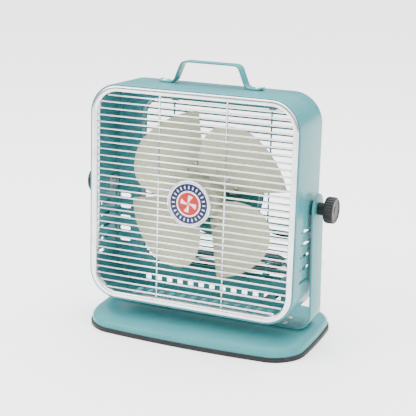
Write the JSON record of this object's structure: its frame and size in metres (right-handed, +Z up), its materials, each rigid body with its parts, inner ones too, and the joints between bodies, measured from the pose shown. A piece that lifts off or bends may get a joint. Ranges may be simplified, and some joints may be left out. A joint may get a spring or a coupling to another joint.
{
  "type": "tilting box fan",
  "caption": "Rounded-square box fan in a pale enamelled case with a plated wire grille, held in a U-shaped yoke by clamp knobs on a low pressed-steel foot, with a carrying handle.",
  "frame": {"origin": "on the floor, at the middle of the foot, straight below the tilt axis", "axes": "+Z up, the front grille faces -Y, +X is the fan's left-hand side as it faces, so right in the front view"},
  "size_m": [0.3986, 0.4567, 0.4087],
  "materials": {
    "teal_enamel": "gloss",
    "bright_plating": "polished",
    "zinc_steel": "satin",
    "cream_enamel": "satin",
    "black_plastic": "satin",
    "black_rubber": "matte",
    "dark_steel": "satin",
    "bronze_bush": "satin",
    "badge_enamel": "gloss",
    "grey_plastic": "satin"
  },
  "bodies": {
    "stand": {"base_shell": "teal_enamel", "base_trim": "black_rubber", "base_cover": "zinc_steel", "ballast_plate": "dark_steel", "yoke": "teal_enamel", "yoke_screw_1": "zinc_steel", "yoke_screw_2": "zinc_steel", "yoke_screw_3": "zinc_steel", "yoke_screw_4": "zinc_steel", "cord_gland": "black_rubber", "cord_tube": "black_rubber", "cord_hank": "black_rubber", "cord_tie": "black_rubber", "plug": "black_rubber", "head_lead": "black_rubber", "lead_grommet_base": "black_rubber"},
    "head": {"case_shell": "teal_enamel", "rear_panel": "teal_enamel", "rear_grille": "teal_enamel", "front_trim": "bright_plating", "front_grille": "bright_plating", "badge_rim": "bright_plating", "badge_face": "badge_enamel", "badge_clamp": "zinc_steel", "handle": "teal_enamel", "handle_screw_1": "zinc_steel", "handle_screw_2": "zinc_steel", "handle_screw_3": "zinc_steel", "handle_screw_4": "zinc_steel", "pivot_bolt_left": "zinc_steel", "pivot_bolt_right": "zinc_steel", "pivot_plate_left": "zinc_steel", "pivot_plate_right": "zinc_steel", "pivot_washer_left": "black_rubber", "pivot_washer_right": "black_rubber", "motor_plate": "teal_enamel", "motor_cover": "teal_enamel", "motor_bell_front": "dark_steel", "motor_bell_rear": "dark_steel", "motor_stator": "dark_steel", "bush_front": "bronze_bush", "bush_rear": "bronze_bush", "capacitor": "grey_plastic", "speed_switch": "grey_plastic", "lead_grommet_cover": "black_rubber", "grille_clip_1": "dark_steel", "grille_clip_2": "dark_steel", "grille_clip_3": "dark_steel", "grille_clip_4": "dark_steel"},
    "fan": {"hub": "cream_enamel", "hub_nut": "zinc_steel", "motor_shaft": "zinc_steel", "rotor_core": "dark_steel", "blade_1": "cream_enamel", "blade_2": "cream_enamel", "blade_3": "cream_enamel", "blade_4": "cream_enamel"},
    "knob_left": {"knob_left": "black_plastic"},
    "knob_right": {"knob_right": "black_plastic"},
    "speed_knob": {"speed_knob": "black_plastic"}
  },
  "joints": [
    {"name": "head_tilt", "type": "hinge", "parent": "stand", "child": "head", "pos_m": [0, 0, 0.2102], "axis": [-1, 0, 0], "range_deg": [-48.9, 86.1], "deforming": ["head_lead"]},
    {"name": "fan_spin", "type": "hinge", "parent": "head", "child": "fan", "pos_m": [0, 0, 0.2102], "axis": [0, 0.9977, -0.068], "continuous": true},
    {"name": "speed_knob_turn", "type": "hinge", "parent": "head", "child": "speed_knob", "pos_m": [0, 0.04774, 0.15332], "axis": [0, 0.9977, -0.068], "range_deg": [0, 135]},
    {"name": "knob_left_turn", "type": "hinge", "parent": "stand", "child": "knob_left", "pos_m": [-0.173, 0, 0.2102], "axis": [1, 0, 0], "range_deg": [0, 720]},
    {"name": "knob_right_turn", "type": "hinge", "parent": "stand", "child": "knob_right", "pos_m": [0.173, 0, 0.2102], "axis": [1, 0, 0], "range_deg": [0, 720]}
  ]
}
